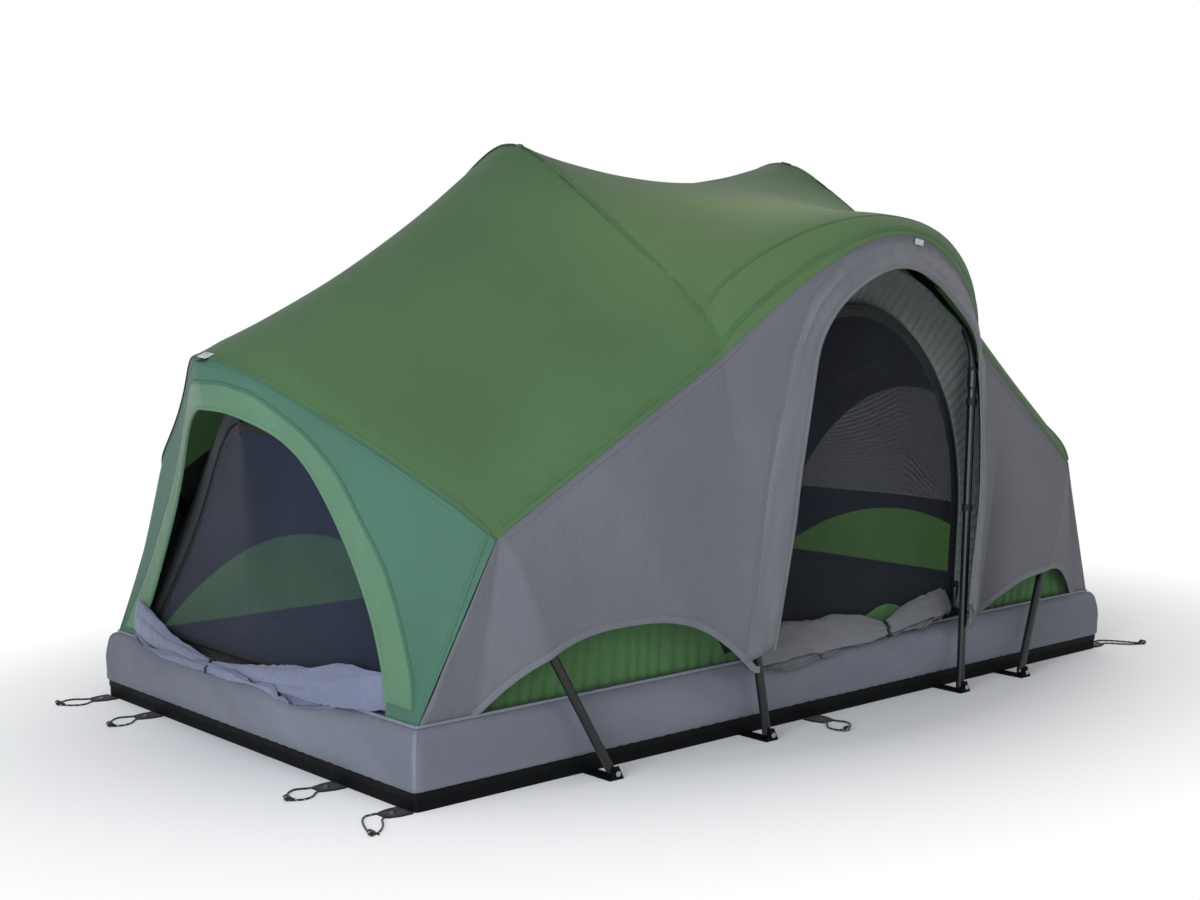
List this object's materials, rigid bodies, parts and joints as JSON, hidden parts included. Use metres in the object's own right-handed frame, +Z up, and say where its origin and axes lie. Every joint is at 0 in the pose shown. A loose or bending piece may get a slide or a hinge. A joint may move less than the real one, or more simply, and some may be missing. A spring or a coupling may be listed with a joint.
{
  "type": "truck bed tent",
  "caption": "Low tent for a truck bed: padded base, four pinned hoops, green and grey fly with brow doors, mesh inner tent and shock-cord tie-downs.",
  "frame": {"origin": "centre of the base's underside, on the ground", "axes": "+X along the base's length, -Y towards the side that the picture shows, +Z up"},
  "size_m": [2.3726, 1.5318, 1.2361],
  "materials": {
    "tub": "matte",
    "band": "matte",
    "foam": "matte",
    "inner": "matte",
    "mesh": "matte",
    "roof": "matte",
    "end": "matte",
    "side": "matte",
    "flap": "matte",
    "tube": "satin",
    "plate": "matte",
    "cord": "matte",
    "slider": "satin"
  },
  "bodies": {
    "base": {"floor_tub": "tub", "base_band": "band", "mattress": "foam", "inner_tent": "inner", "mesh_door_near": "mesh", "mesh_door_far": "mesh", "mesh_window_left": "mesh", "mesh_window_right": "mesh", "fly_roof": "roof", "fly_side_near": "side", "fly_side_far": "side", "fly_end_left": "end", "fly_end_right": "end", "window_flap_left": "flap", "window_flap_right": "flap", "door_flap_near": "flap", "door_flap_far": "flap", "brow_rod_near": "tube", "brow_rod_far": "tube"},
    "left_end_hoop": {"left_end_leg_near": "tube", "left_end_leg_far": "tube", "left_end_bow": "tube"},
    "left_main_hoop": {"left_main_leg_near": "tube", "left_main_leg_far": "tube", "left_main_bow": "tube"},
    "right_main_hoop": {"right_main_leg_near": "tube", "right_main_leg_far": "tube", "right_main_bow": "tube"},
    "right_end_hoop": {"right_end_leg_near": "tube", "right_end_leg_far": "tube", "right_end_bow": "tube"},
    "tie_left_near_corner": {"tie_plate_left_near_corner": "plate", "tie_loop_left_near_corner": "cord"},
    "tie_left_near_end": {"tie_plate_left_near_end": "plate", "tie_loop_left_near_end": "cord"},
    "tie_left_far_corner": {"tie_plate_left_far_corner": "plate", "tie_loop_left_far_corner": "cord"},
    "tie_left_far_end": {"tie_plate_left_far_end": "plate", "tie_loop_left_far_end": "cord"},
    "tie_right_near_corner": {"tie_plate_right_near_corner": "plate", "tie_loop_right_near_corner": "cord"},
    "tie_right_near_end": {"tie_plate_right_near_end": "plate", "tie_loop_right_near_end": "cord"},
    "tie_right_far_corner": {"tie_plate_right_far_corner": "plate", "tie_loop_right_far_corner": "cord"},
    "tie_right_far_end": {"tie_plate_right_far_end": "plate", "tie_loop_right_far_end": "cord"},
    "tie_middle_near": {"tie_plate_middle_near": "plate", "tie_loop_middle_near": "cord"},
    "tie_middle_far": {"tie_plate_middle_far": "plate", "tie_loop_middle_far": "cord"},
    "door_slider_near_body": {"door_slider_near": "slider"},
    "door_slider_far_body": {"door_slider_far": "slider"},
    "window_slider_left_body": {"window_slider_left": "slider"},
    "window_slider_right_body": {"window_slider_right": "slider"}
  },
  "joints": [
    {"name": "left_end_fold", "type": "hinge", "parent": "base", "child": "left_end_hoop", "pos_m": [-0.647, 0, 0.013], "axis": [0, -1, 0], "range_deg": [0, 55], "deforming": ["fly_roof", "fly_side_near", "fly_side_far", "fly_end_left", "fly_end_right", "inner_tent", "mesh_door_near", "mesh_door_far", "mesh_window_left", "mesh_window_right", "brow_rod_near", "brow_rod_far"]},
    {"name": "left_main_fold", "type": "hinge", "parent": "base", "child": "left_main_hoop", "pos_m": [-0.222, 0, 0.013], "axis": [0, -1, 0], "range_deg": [0, 69.7]},
    {"name": "right_main_fold", "type": "hinge", "parent": "base", "child": "right_main_hoop", "pos_m": [0.416, 0, 0.013], "axis": [0, 1, 0], "range_deg": [0, 74.2]},
    {"name": "right_end_fold", "type": "hinge", "parent": "base", "child": "right_end_hoop", "pos_m": [0.647, 0, 0.013], "axis": [0, 1, 0], "range_deg": [0, 55]},
    {"name": "tie_left_near_corner_hinge", "type": "hinge", "parent": "base", "child": "tie_left_near_corner", "pos_m": [-1.0578, -0.574, 0.0013], "axis": [0, 1, 0], "range_deg": [0, 30]},
    {"name": "tie_left_near_end_hinge", "type": "hinge", "parent": "base", "child": "tie_left_near_end", "pos_m": [-1.0578, -0.36, 0.0013], "axis": [0, 1, 0], "range_deg": [0, 70]},
    {"name": "tie_left_far_corner_hinge", "type": "hinge", "parent": "base", "child": "tie_left_far_corner", "pos_m": [-1.0578, 0.574, 0.0013], "axis": [0, 1, 0], "range_deg": [0, 30]},
    {"name": "tie_left_far_end_hinge", "type": "hinge", "parent": "base", "child": "tie_left_far_end", "pos_m": [-1.0578, 0.36, 0.0013], "axis": [0, 1, 0], "range_deg": [0, 70]},
    {"name": "tie_right_near_corner_hinge", "type": "hinge", "parent": "base", "child": "tie_right_near_corner", "pos_m": [1.0578, -0.574, 0.0013], "axis": [0, -1, 0], "range_deg": [0, 30]},
    {"name": "tie_right_near_end_hinge", "type": "hinge", "parent": "base", "child": "tie_right_near_end", "pos_m": [1.0578, -0.36, 0.0013], "axis": [0, -1, 0], "range_deg": [0, 70]},
    {"name": "tie_right_far_corner_hinge", "type": "hinge", "parent": "base", "child": "tie_right_far_corner", "pos_m": [1.0578, 0.574, 0.0013], "axis": [0, -1, 0], "range_deg": [0, 30]},
    {"name": "tie_right_far_end_hinge", "type": "hinge", "parent": "base", "child": "tie_right_far_end", "pos_m": [1.0578, 0.36, 0.0013], "axis": [0, -1, 0], "range_deg": [0, 70]},
    {"name": "tie_middle_near_hinge", "type": "hinge", "parent": "base", "child": "tie_middle_near", "pos_m": [-0.02, -0.6028, 0.0013], "axis": [-1, 0, 0], "range_deg": [0, 70]},
    {"name": "tie_middle_far_hinge", "type": "hinge", "parent": "base", "child": "tie_middle_far", "pos_m": [-0.02, 0.6028, 0.0013], "axis": [1, 0, 0], "range_deg": [0, 70]},
    {"name": "door_slider_near_run", "type": "slide", "parent": "base", "child": "door_slider_near_body", "axis": [0, -0.058, 0.9983], "range_m": [0, 0.16]},
    {"name": "door_slider_far_run", "type": "slide", "parent": "base", "child": "door_slider_far_body", "axis": [0, 0.058, 0.9983], "range_m": [0, 0.16]},
    {"name": "window_slider_left_run", "type": "hinge", "parent": "base", "child": "window_slider_left_body", "pos_m": [-0.93466, 0, 0.53089], "axis": [0.7768, 0, 0.6298], "range_deg": [-35, 35]},
    {"name": "window_slider_right_run", "type": "hinge", "parent": "base", "child": "window_slider_right_body", "pos_m": [0.93464, 0, 0.53089], "axis": [-0.7768, 0, 0.6298], "range_deg": [-35, 35]}
  ],
  "couplings": [
    {"joint": "left_main_fold", "follows": "left_end_fold", "ratio": 1.267},
    {"joint": "right_main_fold", "follows": "left_end_fold", "ratio": 1.349},
    {"joint": "right_end_fold", "follows": "left_end_fold", "ratio": 1}
  ]
}
